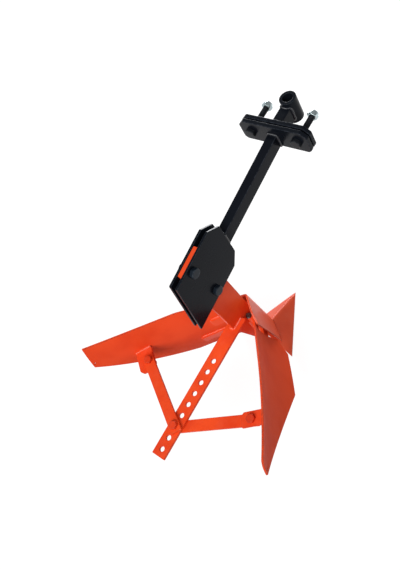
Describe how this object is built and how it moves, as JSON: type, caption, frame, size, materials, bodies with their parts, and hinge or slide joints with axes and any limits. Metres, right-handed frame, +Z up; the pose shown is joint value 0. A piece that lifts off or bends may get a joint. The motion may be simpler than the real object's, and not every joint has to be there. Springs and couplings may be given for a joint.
{
  "type": "ridger",
  "caption": "Walk-behind tractor ridger with two hinged mouldboard wings set by links on a drilled adjusting bar, V share, breast plate and a bolted pin hitch.",
  "frame": {"origin": "Centre of the vertical hitch bore.", "axes": "+X in the direction of travel, from the adjusting bar towards the hitch; +Y to the left; +Z up along the hitch bore."},
  "size_m": [0.6995, 0.469, 0.4168],
  "materials": {
    "black_paint": "satin",
    "black_bolts": "satin",
    "orange_paint": "gloss",
    "wing_paint": "gloss",
    "share_paint": "satin",
    "painted_bolts": "satin",
    "zinc": "zinc plated"
  },
  "bodies": {
    "frame": {"rear_hitch_plate": "black_paint", "hitch_bolts": "black_bolts", "hitch_nuts": "zinc", "drawbar": "black_paint", "left_cheek": "black_paint", "right_cheek": "black_paint", "cheek_bolts": "black_bolts", "cheek_washers": "black_bolts", "cheek_nuts": "black_bolts", "standard": "orange_paint", "frog": "orange_paint", "breast_plate": "orange_paint", "share": "share_paint", "adjusting_bar": "orange_paint", "hinge_blocks": "orange_paint", "hinge_pins": "orange_paint", "hinge_washers": "zinc", "split_pins": "zinc"},
    "hitch_jaw": {"front_hitch_plate": "black_paint", "hitch_stub": "black_paint", "hitch_tube": "black_paint"},
    "left_wing_body": {"left_wing": "wing_paint", "left_hinge_leaves": "wing_paint", "left_lug": "wing_paint", "left_lug_bolt": "painted_bolts", "left_lug_washer": "painted_bolts", "left_lug_nut": "painted_bolts"},
    "right_wing_body": {"right_wing": "wing_paint", "right_hinge_leaves": "wing_paint", "right_lug": "wing_paint", "right_lug_bolt": "painted_bolts", "right_lug_washer": "painted_bolts", "right_lug_nut": "painted_bolts"},
    "left_link_body": {"left_link": "orange_paint", "adjusting_bolt": "painted_bolts"},
    "right_link_body": {"right_link": "orange_paint", "adjusting_nut": "painted_bolts"}
  },
  "joints": [
    {"name": "hitch_clamp", "type": "slide", "parent": "frame", "child": "hitch_jaw", "axis": [1, 0, 0], "range_m": [0, 0.036]},
    {"name": "left_wing_spread", "type": "hinge", "parent": "frame", "child": "left_wing_body", "pos_m": [-0.349, 0.012, -0.271], "axis": [0, 0, -1], "range_deg": [-8.7, 5.7]},
    {"name": "right_wing_spread", "type": "hinge", "parent": "frame", "child": "right_wing_body", "pos_m": [-0.349, -0.012, -0.271], "axis": [0, 0, 1], "range_deg": [-8.7, 5.7]},
    {"name": "left_link_swing", "type": "hinge", "parent": "left_wing_body", "child": "left_link_body", "pos_m": [-0.53053, 0.13462, -0.217], "axis": [0, 0, 1], "range_deg": [-27, 17.7]},
    {"name": "right_link_swing", "type": "hinge", "parent": "right_wing_body", "child": "right_link_body", "pos_m": [-0.53053, -0.13462, -0.2293], "axis": [0, 0, -1], "range_deg": [-27, 17.7]}
  ],
  "couplings": [
    {"joint": "right_wing_spread", "follows": "left_wing_spread", "ratio": 1},
    {"joint": "left_link_swing", "follows": "left_wing_spread", "ratio": 3.1},
    {"joint": "right_link_swing", "follows": "left_wing_spread", "ratio": 3.1}
  ]
}
